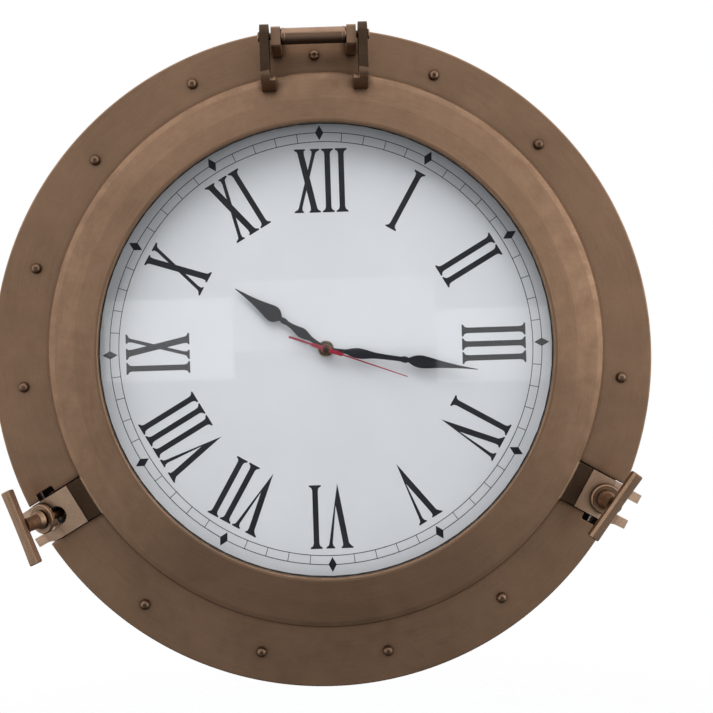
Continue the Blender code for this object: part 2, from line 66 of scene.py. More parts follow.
class Nodes:
    """A material's node tree, with short calls for the nodes used here."""

    def __init__(self, name):
        self.mat = bpy.data.materials.new(name)
        MATERIALS[name] = self.mat
        self.mat.use_nodes = True
        self.tree = self.mat.node_tree
        self.tree.nodes.clear()
        self.out = self.add("OutputMaterial")
        self.where = self.add("TexCoord").outputs["Object"]

    def add(self, kind, inputs=None, **props):
        node = self.tree.nodes.new("ShaderNode" + kind)
        for key, value in props.items():
            setattr(node, key, value)
        for key, value in (inputs or {}).items():
            self.put(node.inputs[key], value)
        return node

    def put(self, socket, value):
        if isinstance(value, bpy.types.NodeSocket):
            self.tree.links.new(value, socket)
        else:
            socket.default_value = value

    def math(self, op, a, b=0.0):
        return self.add("Math", {0: a, 1: b}, operation=op).outputs[0]

    def vector(self, op, a, b=(0, 0, 0)):
        node = self.add("VectorMath", {0: a, 1: b}, operation=op)
        return node.outputs["Value" if op in ("LENGTH", "DOT_PRODUCT") else 0]

    def noise(self, scale, detail=3.0, rough=0.55, stretch=None, where=None, distort=0.0):
        where = where or self.where
        if stretch:
            where = self.vector("MULTIPLY", where, stretch)
        named = {"Vector": where, "Scale": scale, "Detail": detail, "Roughness": rough}
        return self.add("TexNoise", {**named, "Distortion": distort}).outputs["Fac"]

    def span(self, value, low, high, to_low=0.0, to_high=1.0):
        """The value's range low to high stretched onto to_low to to_high, and held there."""
        named = {"Value": value, "From Min": low, "From Max": high}
        return self.add("MapRange", {**named, "To Min": to_low, "To Max": to_high}).outputs["Result"]

    def mix(self, factor, a, b):
        node = self.add("Mix", data_type="RGBA")
        self.put(node.inputs["Factor"], factor)
        for key, colour in (("A", a), ("B", b)):
            self.put(node.inputs[key], colour if isinstance(colour, bpy.types.NodeSocket) else (*colour, 1))
        return node.outputs["Result"]

    def axes(self):
        return self.add("SeparateXYZ", {"Vector": self.where}).outputs

    def radius(self):
        """The distance from the clock's axis, in metres."""
        parts = self.axes()
        flat = self.add("CombineXYZ", {"X": parts["X"], "Y": 0.0, "Z": parts["Z"]}).outputs[0]
        return self.vector("LENGTH", flat)

    def turned_where(self, along, around):
        """Coordinates that follow a lathe's marks: radius fine, angle coarse."""
        parts = self.axes()
        angle = self.math("ARCTAN2", parts["X"], parts["Z"])
        # Sine and cosine close the pattern where the angle wraps.
        named = {
            "X": self.math("MULTIPLY", self.math("SINE", angle), around),
            "Y": self.math("MULTIPLY", self.math("COSINE", angle), around),
            "Z": self.math("MULTIPLY", self.math("ADD", self.radius(), parts["Y"]), along),
        }
        return self.add("CombineXYZ", named).outputs[0]

    def edge(self, radius):
        """Near 1 on worn outer and inner edges, broken up by noise."""
        bevel = self.add("Bevel", {"Radius": radius}, samples=6).outputs[0]
        normal = self.add("NewGeometry").outputs["Normal"]
        turn = self.math("SUBTRACT", 1.0, self.vector("DOT_PRODUCT", bevel, normal))
        worn = self.span(self.noise(260, 4.0, 0.6), 0.35, 0.62)
        return self.math("MULTIPLY", self.span(turn, 0.02, 0.22), worn)

    def hollow(self, distance):
        """Near 1 in crevices, from ambient occlusion: patina in the hollows and painted shade."""
        ao = self.add("AmbientOcclusion", {"Distance": distance}, samples=6, only_local=False)
        return self.span(ao.outputs["AO"], 0.45, 0.95, 1.0, 0.0)

    def bump(self, height, strength, distance, normal=None):
        inputs = {"Strength": strength, "Distance": distance, "Height": height}
        if normal is not None:
            inputs["Normal"] = normal
        return self.add("Bump", inputs).outputs[0]

    def surface(self, **inputs):
        shader = self.add("BsdfPrincipled", {key.replace("_", " "): value for key, value in inputs.items()})
        self.tree.links.new(shader.outputs[0], self.out.inputs["Surface"])
        return self.mat


BRONZE = (0.40, 0.248, 0.157)
PATINA = (0.20, 0.123, 0.080)
# The colour of worn edges, also used for the painted highlight on the ring's rim.
WORN_AND_HIGHLIGHT = (0.84, 0.64, 0.44)


def rim_edge_highlight(n, radius):
    """Near 1 on the door ring's lower outer edge where it passes a wedge: a painted highlight where the
    rounded edge catches the light.
    """
    parts = n.axes()
    beside_x = n.math("ABSOLUTE", parts["X"])
    rim = n.math("MULTIPLY", n.span(radius, 0.2084, 0.2096), n.span(radius, 0.2106, 0.2111, 1.0, 0.0))
    low_and_wide = n.math(
        "MULTIPLY", n.math("LESS_THAN", parts["Z"], -0.088), n.math("GREATER_THAN", beside_x, 0.170)
    )
    # The distance across the dog's own line, which runs 30 degrees below level.
    across = n.math("ADD", n.math("MULTIPLY", beside_x, 0.5), n.math("MULTIPLY", parts["Z"], 0.866))
    near = n.span(n.math("ABSOLUTE", across), 0.0150, 0.0165, 1.0, 0.0)
    return n.math("MULTIPLY", n.math("MULTIPLY", rim, near), low_and_wide)


def bronze(
    name,
    base,
    patina=PATINA,
    worn=WORN_AND_HIGHLIGHT,
    rough=0.42,
    lathe=False,
    pitted=0.0,
    sunk=None,
    under=0.0,
    steps=False,
):
    """Antique brushed bronze: mottled patina, brush marks, bright worn edges, and dark crevices of patina
    and painted shade.

    lathe turns the brush marks round the clock's axis. sunk is a pair of heights out of the
    wall, in millimetres: painted shade makes the metal black below the first and leaves it clean
    above the second. under paints shade on faces that look down, and steps paints shade on what
    lies outside the ring, with a painted highlight along the ring's edge beside each wedge.
    """
    n = Nodes(name)
    broad = n.span(n.noise(16, 4.0, 0.6, distort=0.6), 0.30, 0.70)
    mottle = n.span(n.noise(95, 5.0, 0.65), 0.30, 0.72)
    colour = n.mix(broad, times(base, 0.86), times(base, 1.13))
    colour = n.mix(n.math("MULTIPLY", mottle, 0.35), colour, patina)
    speck = n.span(n.noise(900, 2.0, 0.5), 0.62, 0.80)
    colour = n.mix(n.math("MULTIPLY", speck, 0.25), colour, times(patina, 0.45))
    if lathe:
        streak = n.noise(1.0, 2.0, 0.6, where=n.turned_where(1500.0, 9.0))
    else:
        streak = n.noise(1.0, 2.0, 0.6, stretch=(180.0, 180.0, 2600.0))
    colour = n.mix(n.span(streak, 0.35, 0.65, 0.0, 0.22), colour, times(base, 1.35))
    # Crevices darkened towards the patina: real patina in the hollows, and painted shade from ambient
    # occlusion.
    colour = n.mix(n.math("MULTIPLY", n.hollow(0.006), 0.85), colour, times(patina, 0.22))
    wear = n.edge(0.0007)
    colour = n.mix(n.math("MULTIPLY", wear, 0.8), colour, worn)
    painted_shade = None
    # painted shade: the metal black deep in the slot, below sunk's first height
    if sunk:
        painted_shade = n.span(n.axes()["Y"], -sunk[1] * MM, -sunk[0] * MM, 0.0, 0.92)
    # painted shade on faces that look down
    if under:
        facing = n.add("SeparateXYZ", {"Vector": n.add("TexCoord").outputs["Normal"]}).outputs["Z"]
        painted_shade = n.span(facing, -0.80, -0.45, under, 0.0)
    # painted shade on the wedges outside the ring's edge, and a painted highlight along that edge beside
    # them
    if steps:
        radius = n.radius()
        painted_shade = n.span(radius, 0.2108, 0.2116, 0.0, 0.80)
        # Painted highlight along the ring's rounded edge beside each wedge, in the worn colour.
        colour = n.mix(n.math("MULTIPLY", rim_edge_highlight(n, radius), 0.8), colour, worn)
    uneven = n.span(mottle, 0.0, 1.0, rough - 0.06, rough + 0.10)
    roughness = n.math("ADD", uneven, n.math("MULTIPLY", wear, -0.10))
    if painted_shade:
        colour = n.mix(painted_shade, colour, times(patina, 0.20))
        roughness = n.math("ADD", roughness, n.math("MULTIPLY", painted_shade, 0.2))
    height = n.math("MULTIPLY", streak, 0.5)
    if pitted:
        height = n.math("ADD", height, n.math("MULTIPLY", n.noise(420, 4.0, 0.7), 4.0 * pitted))
    normal = n.bump(height, 0.35, 0.00018)
    normal = n.bump(n.noise(60, 3.0, 0.5), 0.12, 0.0012, normal)
    return n.surface(Base_Color=colour, Metallic=1.0, Roughness=roughness, Normal=normal)


def plain(name, base, rough, metallic=0.0, vary=0.12, grain=600.0, depth=4e-5, coat=0.0, edge_to=None):
    """A simple surface that still varies in colour, gloss and grain."""
    n = Nodes(name)
    broad = n.span(n.noise(40, 4.0, 0.6), 0.3, 0.7)
    colour = n.mix(broad, times(base, 1 - vary), times(base, 1 + vary))
    if edge_to:
        colour = n.mix(n.math("MULTIPLY", n.edge(0.0004), 0.6), colour, edge_to)
    fine = n.noise(grain, 3.0, 0.6)
    return n.surface(
        Base_Color=colour,
        Roughness=n.span(fine, 0.3, 0.7, max(0.02, rough - 0.05), rough + 0.05),
        Normal=n.bump(fine, 0.3, depth),
        Metallic=metallic,
        Coat_Weight=coat,
    )


def brushed(name, base, rough, stretch=(60.0, 60.0, 2400.0)):
    """Bright metal with straight brush marks."""
    n = Nodes(name)
    streak = n.noise(1.0, 3.0, 0.6, stretch=stretch)
    colour = n.mix(n.span(streak, 0.3, 0.7), times(base, 0.85), times(base, 1.1))
    colour = n.mix(n.span(n.noise(120, 4.0), 0.5, 0.8, 0.0, 0.35), colour, times(base, 0.5))
    roughness = n.span(streak, 0.3, 0.7, rough - 0.06, rough + 0.08)
    normal = n.bump(streak, 0.25, 0.00006)
    return n.surface(Base_Color=colour, Metallic=1.0, Roughness=roughness, Normal=normal)


def dial_paper(name):
    """Matte white enamel, faintly grey and yellowed, with a fine paper grain."""
    n = Nodes(name)
    colour = n.mix(n.span(n.noise(14, 4.0, 0.55), 0.3, 0.7), (0.81, 0.82, 0.855), (0.86, 0.87, 0.90))
    colour = n.mix(n.span(n.noise(700, 3.0, 0.7), 0.66, 0.86, 0.0, 0.10), colour, (0.52, 0.50, 0.47))
    fine = n.noise(1500, 3.0, 0.6)
    roughness = n.span(fine, 0.3, 0.7, 0.52, 0.66)
    return n.surface(Base_Color=colour, Roughness=roughness, Normal=n.bump(fine, 0.12, 0.00003))


def clear_glass(name):
    """A plain pane: what is behind shows through, and its faces mirror with faint smears."""
    n = Nodes(name)
    # Light leaving the pane from inside isn't turned back, as it would be without refraction.
    front = n.math("SUBTRACT", 1.0, n.add("NewGeometry").outputs["Backfacing"])
    mirror = n.math("MULTIPLY", n.add("Fresnel", {"IOR": 1.6}).outputs[0], front)
    clear = n.add("BsdfTransparent", {"Color": (0.98, 0.985, 0.985, 1)})
    smear = n.span(n.noise(22, 5.0, 0.7, stretch=(1.0, 1.0, 2.2), distort=1.5), 0.35, 0.75, 0.015, 0.075)
    gloss = n.add("BsdfGlossy", {"Color": (1, 1, 1, 1), "Roughness": smear})
    both = n.add("MixShader", {"Fac": mirror, 1: clear.outputs[0], 2: gloss.outputs[0]})
    n.tree.links.new(both.outputs[0], n.out.inputs["Surface"])


bronze("case_bronze", BRONZE, rough=0.44, lathe=True)
# steps paints shade on the wedges and a highlight along the ring's edge beside them.
bronze("door_bronze", times(BRONZE, 0.95), rough=0.44, lathe=True, steps=True)
# under paints shade on the hinge's faces that look down.
bronze("hinge_bronze", (0.43, 0.272, 0.183), (0.19, 0.127, 0.090), rough=0.36, pitted=0.3, under=0.8)
bronze("dog_bronze", (0.40, 0.257, 0.166), rough=0.38, pitted=0.6)
bronze("screw_bronze", (0.257, 0.160, 0.103), (0.100, 0.063, 0.046), rough=0.28)
# The lugs' bronze is the door ring's painted much lighter: painted light on their tops.
bronze("lug_bronze", (0.76, 0.53, 0.37), rough=0.42, pitted=0.4)
# sunk paints shade on the bolt: black deep in its slot, clean further out.
bronze("bolt_bronze", (0.34, 0.215, 0.135), rough=0.36, pitted=0.3, sunk=(12.0, 30.0))
bronze("nut_brass", (0.62, 0.40, 0.17), (0.30, 0.16, 0.07), (0.85, 0.66, 0.36), rough=0.26)
bronze("cap_copper", (0.36, 0.19, 0.12), (0.16, 0.085, 0.06), (0.62, 0.42, 0.30), rough=0.26)
brushed("washer_brass", (0.42, 0.29, 0.14), 0.34)
brushed("hanger_steel", (0.56, 0.56, 0.57), 0.34)
brushed("stator_steel", (0.50, 0.50, 0.51), 0.35)
brushed("coil_copper", (0.70, 0.28, 0.12), 0.30, stretch=(2.0, 2.0, 6000.0))
brushed("contact_steel", (0.62, 0.61, 0.58), 0.28)
brushed("spring_steel", (0.42, 0.42, 0.43), 0.30)
dial_paper("dial_enamel")
plain("dial_ink", (0.013, 0.014, 0.020), 0.50, vary=0.35, grain=1600.0, depth=2e-5)
HAND_EDGE, COVER_EDGE = (0.04, 0.04, 0.05), (0.16, 0.15, 0.14)
plain("hand_black", (0.010, 0.011, 0.017), 0.40, vary=0.2, grain=900.0, depth=1e-5, edge_to=HAND_EDGE)
plain("hand_red", (0.34, 0.012, 0.035), 0.34, vary=0.15)
clear_glass("pane_glass")
plain("seal_rubber", (0.018, 0.018, 0.018), 0.62, vary=0.3)
plain("gasket_rubber", (0.025, 0.025, 0.025), 0.66, vary=0.3)
plain("cover_steel", (0.035, 0.034, 0.033), 0.45, vary=0.25, grain=900.0, depth=5e-5, edge_to=COVER_EDGE)
plain("movement_plastic", (0.018, 0.018, 0.019), 0.42, vary=0.25, grain=1300.0)
plain("knob_plastic", (0.50, 0.50, 0.48), 0.40)
plain("gear_plastic", (0.80, 0.78, 0.72), 0.38)
plain("rotor_magnet", (0.10, 0.10, 0.11), 0.35)
plain("board_green", (0.02, 0.13, 0.05), 0.35, vary=0.2, grain=900.0, coat=0.3)
plain("battery_shell", (0.03, 0.035, 0.05), 0.30, metallic=0.3, vary=0.2, grain=500.0, depth=2e-5, coat=0.4)

for node, obj in frame["nodes"].items():
    obj.data.materials.clear()
    obj.data.materials.append(MATERIALS[SLOT_OF[node]])


# ------------------------------------------------------------------ mesh helpers


def make(name, verts, faces, place=None):
    """A mesh object from points in the clock's frame, or in a frame that place puts into it."""
    mesh = bpy.data.meshes.new(name)
    bm = bmesh.new()
    made = []
    for v in verts:
        p = place @ Vector(v) if place else Vector(v)
        made.append(bm.verts.new((p.x * MM, -p.z * MM, p.y * MM)))
    for f in faces:
        bm.faces.new([made[i] for i in f])
    bmesh.ops.recalc_face_normals(bm, faces=bm.faces)
    bm.to_mesh(mesh)
    bm.free()
    obj = bpy.data.objects.new(name, mesh)
    bpy.context.scene.collection.objects.link(obj)
    return obj


def filleted(corners, steps=4):
    """A closed outline from (a, b, radius) corners, each rounded by its radius."""
    points, count = [], len(corners)
    for i, (x, y, radius) in enumerate(corners):
        p = Vector((x, y))
        if not radius:
            points.append((x, y))
            continue
        back = Vector(corners[i - 1][:2]) - p
        ahead = Vector(corners[(i + 1) % count][:2]) - p
        reach = radius / math.tan(back.angle(ahead) / 2)
        reach = min(reach, back.length * 0.49, ahead.length * 0.49)
        a, b = p + back.normalized() * reach, p + ahead.normalized() * reach
        for k in range(steps + 1):
            t = k / steps
            q = a * (1 - t) ** 2 + p * 2 * t * (1 - t) + b * t * t
            points.append((q.x, q.y))
    return points


def turned(name, profile, n=256, place=None, shift=(0, 0), shift_from=math.inf):
    """A solid of revolution about z: profile is a closed loop of (radius, z).

    Circles wider than shift_from stand off the axis by shift.
    """
    verts, rows = [], []
    for r, z in profile:
        dx, dy = shift if r > shift_from else (0, 0)
        if r < 1e-9:
            rows.append([len(verts)] * n)
            verts.append((0, 0, z))
        else:
            rows.append([len(verts) + k for k in range(n)])
            for k in range(n):
                a = 2 * math.pi * k / n
                verts.append((r * math.sin(a) + dx, r * math.cos(a) + dy, z))
    faces = []
    for i, one in enumerate(rows):
        two = rows[(i + 1) % len(rows)]
        for k in range(n):
            m = (k + 1) % n
            face = []
            for v in (one[k], one[m], two[m], two[k]):
                if v not in face:
                    face.append(v)
            if len(face) > 2:
                faces.append(face)
    return make(name, verts, faces, place)


def prism(name, outer, z0, z1, holes=(), place=None):
    """A flat outline with holes, extruded from z0 to z1."""
    loops = [list(outer)] + [list(h) for h in holes]
    points = [p for loop in loops for p in loop]
    n = len(points)
    if holes:
        caps = geometry.tessellate_polygon([[Vector((x, y, 0)) for x, y in loop] for loop in loops])
    else:
        caps = [range(n)]
    verts = [(x, y, z0) for x, y in points] + [(x, y, z1) for x, y in points]
    faces = [tuple(t) for t in caps] + [tuple(i + n for i in t) for t in caps]
    start = 0
    for loop in loops:
        for i in range(len(loop)):
            a, b = start + i, start + (i + 1) % len(loop)
            faces.append((a, b, b + n, a + n))
        start += len(loop)
    return make(name, verts, faces, place)


def stacked(name, layers, place=None):
    """A closed shape through several outlines of the same length, each (points, z)."""
    n = len(layers[0][0])
    verts = [(x, y, z) for outline, z in layers for x, y in outline]
    faces = [tuple(range(n)), tuple(range(len(verts) - n, len(verts)))]
    for row in range(len(layers) - 1):
        for i in range(n):
            a, b = row * n + i, row * n + (i + 1) % n
            faces.append((a, b, b + n, a + n))
    return make(name, verts, faces, place)


def circle(r, n=32, at=(0, 0), start=0.0, turn=360.0, ends=False):
    return [
        (
            at[0] + r * math.cos(math.radians(start + turn * k / n)),
            at[1] + r * math.sin(math.radians(start + turn * k / n)),
        )
        for k in range(n + 1 if ends else n)
    ]


def rounded(w, h, r, n=6, at=(0, 0)):
    points = []
    for sx, sy, start in ((1, 1, 0), (-1, 1, 90), (-1, -1, 180), (1, -1, 270)):
        centre = (at[0] + sx * (w / 2 - r), at[1] + sy * (h / 2 - r))
        points += circle(r, n, centre, start, 90, ends=True)
    return points


def baked(obj):
    """The object with its modifiers applied."""
    bpy.context.view_layer.update()
    graph = bpy.context.evaluated_depsgraph_get()
    mesh = bpy.data.meshes.new_from_object(obj.evaluated_get(graph))
    obj.modifiers.clear()
    obj.data = mesh
    return obj


def boolean(obj, others, operation):
    for other in others:
        mod = obj.modifiers.new("cut", "BOOLEAN")
        mod.operation, mod.object, mod.solver = operation, other, "MANIFOLD"
        baked(obj)
        bpy.data.objects.remove(other)
    return obj


def cut(obj, *others):
    return boolean(obj, others, "DIFFERENCE")


def join(obj, *others):
    return boolean(obj, others, "UNION")


def eased(obj, width):
    """Edges rounded as on a cast and polished part, on clean flat faces."""
    bm = bmesh.new()
    bm.from_mesh(obj.data)
    bmesh.ops.remove_doubles(bm, verts=bm.verts, dist=2e-6)
    bmesh.ops.dissolve_limit(bm, angle_limit=math.radians(1.5), verts=bm.verts, edges=bm.edges)
    bm.to_mesh(obj.data)
    bm.free()
    mod = obj.modifiers.new("ease", "BEVEL")
    mod.width, mod.segments = width * MM, 3
    mod.limit_method, mod.angle_limit = "ANGLE", math.radians(35)
    mod.miter_outer = "MITER_ARC"
    return baked(obj)


def finish(obj, slot, body=None, nodes=(), sharp=38):
    """Shading, material, body and slot for a new piece."""
    obj.data.materials.clear()
    obj.data.materials.append(MATERIALS[slot])
    for polygon in obj.data.polygons:
        polygon.material_index = 0
    obj.data.shade_smooth()
    obj.data.set_sharp_from_angle(angle=math.radians(sharp))
    mod = obj.modifiers.new("weigh", "WEIGHTED_NORMAL")
    mod.keep_sharp = True
    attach(obj, body or BODY_OF[nodes[0]])
    if nodes:
        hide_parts(*nodes)
    return obj


def detail(obj, node, slot=None, sharp=38):
    """obj takes the place of one CAD node."""
    return finish(obj, slot or SLOT_OF[node], nodes=(node,), sharp=sharp)


# Where a shape's own (x, y, z) goes: to (z, x, y), to (x, z, y) and to (x, -z, y).
ALONG_X = Matrix(((0, 0, 1), (1, 0, 0), (0, 1, 0))).to_4x4()
UPRIGHT = Matrix(((1, 0, 0), (0, 0, 1), (0, 1, 0))).to_4x4()
STOOD = Matrix(((1, 0, 0), (0, 0, -1), (0, 1, 0))).to_4x4()


def at(x, y, z=0.0):
    return Matrix.Translation((x, y, z))


def spin(degrees, axis):
    return Matrix.Rotation(math.radians(degrees), 4, axis)


def radial(clock_deg):
    """The frame at a clock angle: x outward, y counter-clockwise, z out of the wall."""
    return spin(90 - clock_deg, "Z")


# ------------------------------------------------------------------ the case

FLANGE_R = 254.0
LUG_HALF, NOTCH_GAP = 16.0, 16.5  # half widths of a lug and of its notch
PIVOT_R, PIVOT_Z = 243.0, 8.5  # a dog's pivot pin
NOSE, SLOT_HALF, PIN_BORE = 18.5, 7.5, 2.7
DOGS = {"right": 120, "left": 240}  # clock angles
HANGER_X, HANGER_Y = 21.0, 216.0
RIM = (-2.9, -6.5)  # the flange is cast a little off the dial's axis
RIM_FROM = 230.0  # the radius beyond which the casting follows RIM
# The screws were marked out by hand, a little unevenly.
SCREWS = [
    (-1.9, 226.5),
    (89.8, 208.2),
    (168.8, 152.4),
    (226.8, -29.3),
    (129.5, -195.9),
    (40.7, -234.0),
    (-56.8, -231.9),
    (-145.5, -192.6),
    (-233.6, -22.3),
    (-221.1, 68.9),
    (-173.2, 150.9),
    (-96.5, 207.3),
]

flange = turned(
    "case_flange",
    filleted(
        [
            (FLANGE_R, 0.0, 0.5),
            (FLANGE_R, FRONT, 1.5),
            (188.0, FRONT, 0.5),
            (187.2, FRONT + 2.0, 0.4),
            (182.4, FRONT + 2.0, 0.4),
            (181.6, FRONT, 0.5),
            (178.0, FRONT, 0.3),
            (178.0, 18.3, 0),
            (173.5, 18.3, 0.2),
            (173.5, 16.3, 0.2),
            (178.0, 16.3, 0),
            (178.0, 6.0, 0.4),
            (182.0, 6.0, 0.4),
            (182.0, 19.5, 1.5),
            (FLANGE_R - 4.5, 19.5, 1.5),
            (FLANGE_R - 4.5, 0.0, 0.4),
        ],
        4,
    ),
    288,
    shift=RIM,
    shift_from=RIM_FROM,
)


def notch_plan(grow):
    """The notch's outline in (outward, counter-clockwise), with flared inner corners."""
    half = NOTCH_GAP + grow
    flare = 4.5
    side = [(197.0, half), (RING_R - 2.0, half + flare), (RING_R, half + flare)]
    for degrees in range(15, 91, 15):
        a = math.radians(degrees)
        side.append((RING_R + 4.6 * (1 - math.cos(a)), half + flare * (1 - math.sin(a))))
    side.append((270.0, half))
    return [(r, -t) for r, t in side] + [(r, t) for r, t in reversed(side)]


def flared(name, plan, floor, place):
    """A cutter that leaves a rounded edge where it breaks the flange's front."""
    rise = ((0, -0.9), (0.08, -0.5), (0.3, -0.15), (0.7, 0.02), (0.75, 6.0))
    return stacked(name, [(plan(0), floor)] + [(plan(grow), FRONT + up) for grow, up in rise], place)


def pocket_plan(grow):
    return rounded(14.2 + 2 * grow, 11.0 + 2 * grow, 1.6 + grow, 5, at=(PIVOT_R - 0.4, -NOTCH_GAP))


cutters = []
for side, angle in DOGS.items():
    cutters.append(flared("notch", notch_plan, 1.83, radial(angle)))
    cutters.append(flared("pocket", pocket_plan, 2.6, radial(angle)))
for s in (-1, 1):
    join(flange, prism("boss", circle(5.0, 32, (s * HANGER_X, HANGER_Y)), 3.9, 20.5))
    cutters.append(prism("hole", circle(2.1, 20, (s * HANGER_X, HANGER_Y)), 0.0, 14.0))
for point in SCREWS:
    cutters.append(prism("hole", circle(2.2, 20, point), 15.0, 28.0))
detail(cut(flange, *cutters), "flange_casting")

for number, point in enumerate(SCREWS, 1):
    # A domed head with a shallow turned flat and a soft rim.
    profile = filleted(
        [(0, 27.2, 0), (1.5, 27.1, 0.8), (2.9, 26.5, 1.2), (3.75, 25.4, 0.9), (4.0, 24.2, 0.15)], 3
    )
    profile += [(1.9, 24.2), (1.9, 11.4), (1.2, 10.6), (0, 10.6)]
    screw = turned("screw_head_%02d" % number, profile, 48, at(*point))
    detail(screw, "flange_screw_%02d" % number)


# ------------------------------------------------------------------ the hinge

HINGE_X, PIN = -2.0, (235.0, 46.0)
# From the hinge's middle, on each side.
EAR_X, ARM_X, FOOT_X = (24.5, 31.5), (33.2, 39.8), (29.2, 34.0)
ACROSS = at(HINGE_X, 0) @ ALONG_X


def on_side(name, outline, s, span, holes=()):
    """A piece of the hinge: an outline across the pin, between two distances to side s."""
    low, high = sorted(s * x for x in span)
    return prism(name, outline, low, high, holes, ACROSS)


for side, s in (("left", -1), ("right", 1)):
    outline = filleted(
        [
            (225.4, FRONT + 0.15, 0),
            (241.0, FRONT + 0.15, 0),
            (241.4, 50.2, 2.4),
            (240.0, 52.0, 1.2),
            (227.0, 52.0, 1.2),
            (225.6, 50.2, 1.0),
        ],
        4,
    )
    ear = on_side("ear_" + side, outline, s, EAR_X, [circle(PIN_BORE, 32, PIN)])
    detail(eased(ear, 0.5), "hinge_ear_" + side)

    # The strap, and its wider foot on the ring.
    outline = filleted(
        [
            (196.3, 37.95, 0),
            (203.2, 36.75, 0),
            (206.6, 35.8, 0),
            (209.0, 34.9, 0.4),
            (211.0, 34.9, 1.0),
            (217.0, 36.6, 4.0),
            (226.0, 39.6, 3.0),
        ],
        3,
    )
    outline += circle(9.0, 28, PIN, -118, 208, ends=True)
    outline += [(223.0, 55.2), (216.0, 55.2), (210.0, 54.85), (206.4, 54.2)]
    outline += [(204.4, 53.3), (203.2, 52.2), (202.4, 50.9)]
    arm = on_side("arm_" + side, outline, s, ARM_X)
    outline = [(196.3, 37.95), (205.5, 36.45), (205.5, 47.6), (203.8, 49.2), (201.8, 49.7)]
    foot = on_side("foot", outline, s, FOOT_X)
    bore = prism("bore", circle(PIN_BORE, 32, PIN), -60.0, 60.0, place=ACROSS)
    detail(eased(cut(join(arm, foot), bore), 0.45), "hinge_arm_" + side)


def both_ways(half):
    """A profile whose half runs outward along z, mirrored to the other end."""
    return filleted([(r, -z, f) for r, z, f in reversed(half)] + half, 3)


half_pin = [(2.5, 40.1, 0), (3.7, 40.1, 0.3), (3.7, 41.1, 0.5), (2.6, 41.8, 0.6), (0, 41.8, 0)]
detail(turned("pivot_rod", both_ways(half_pin), 40, ACROSS @ at(*PIN)), "hinge_pin")
# The spacer tube has a raised bead at each end.
half_tube = [(6.0, 21.2, 0.2), (6.2, 21.6, 0.3), (6.2, 23.5, 0.3), (5.8, 24.2, 0.3), (PIN_BORE, 24.2, 0.2)]
detail(turned("spacer_tube", both_ways(half_tube), 56, ACROSS @ at(*PIN)), "hinge_sleeve")


# ------------------------------------------------------------------ the door

DOOR_RING = [
    (172.0, 35.4, 0.2),
    (172.0, 40.0, 0.9),
    (174.2, 40.3, 1.2),
    (190.0, 38.7, 30.0),
    (205.6, 36.5, 16.0),
    (209.6, 35.5, 1.6),
    (RING_R, 33.4, 1.2),
    (RING_R, 25.2, 0.8),
    (188.2, 25.2, 0.3),
    (188.2, 28.8, 0.2),
    (180.8, 28.8, 0.2),
    (180.8, 28.2, 0.2),
    (178.5, 28.2, 0.3),
    (178.5, 35.4, 0.2),
]
ring = turned("bezel_ring", filleted(DOOR_RING, 5), 288)
for angle in DOGS.values():
    outline = [(206.0, 25.5), (224.5, 25.5), (224.5, 27.0), (212.0, 32.8), (206.0, 32.8)]
    wedge = prism("wedge", outline, -LUG_HALF, LUG_HALF, place=radial(angle) @ STOOD)
    join(ring, eased(wedge, 0.5))
detail(ring, "door_ring")


def lug(side, angle):
    """The forked lug: a flat top, a slot open outward, and a nose rounded about the pivot."""
    place = radial(angle)
    nose = circle(NOSE, 16, (PIVOT_R, PIVOT_Z), 90, -45, ends=True)
    outline = [(199.0, 24.9), (224.8, 24.9), (224.8, 27.0)] + nose
    # The prongs run out into blunt toes.
    outline += filleted(
        [(262.2, 14.0, 2.0), (265.5, 11.4, 3.0), (274.8, 9.6, 2.2), (275.5, 3.4, 2.2)], 4
    )
    outline += [(236.0, 3.4), (216.0, 12.0), (206.0, 21.6), (199.0, 21.6)]
    body = prism("fork_lug_" + side, outline, -LUG_HALF - 1, LUG_HALF + 1, place=place @ UPRIGHT)
    section = [(-LUG_HALF, 40), (-LUG_HALF, 20), (-14, 2), (14, 2), (LUG_HALF, 20), (LUG_HALF, 40)]
    across = place @ ALONG_X
    boolean(body, [prism("taper", section, 190.0, 280.0, place=across)], "INTERSECT")
    pin_frame = across @ at(0, PIVOT_Z, PIVOT_R) @ spin(90, "Y")
    slot = circle(SLOT_HALF, 28, (PIVOT_R, 0), 90, 180, ends=True)
    slot += [(280, -SLOT_HALF), (280, SLOT_HALF)]
    half_room = SLOT_HALF + 0.3
    room = [(236.3, -half_room), (248.0, -half_room), (248.0, half_room), (236.3, half_room)]
    cut(
        body,
        prism("slot", slot, 0.0, 40.0, place=place),
        prism("eye_room", room, 0.0, 16.5, place=place),
        prism("bore", circle(PIN_BORE, 32), -20.0, 20.0, place=pin_frame),
    )
    # lug_bronze is lighter bronze standing for painted light on the lug's top.
    detail(eased(body, 0.55), "door_lug_" + side, "lug_bronze")
    # The pin: a domed head on the clockwise side, and a peened end.
    head = [(0, -18.4, 0), (2.9, -18.4, 1.0), (3.9, -17.6, 0.6), (3.9, -16.3, 0.2), (2.5, -16.3, 0)]
    head += [(2.5, 15.1, 0.3), (1.9, 15.8, 0.3), (0, 15.8, 0)]
    detail(turned("fork_pin_" + side, filleted(head, 3), 40, pin_frame), "pivot_pin_" + side)


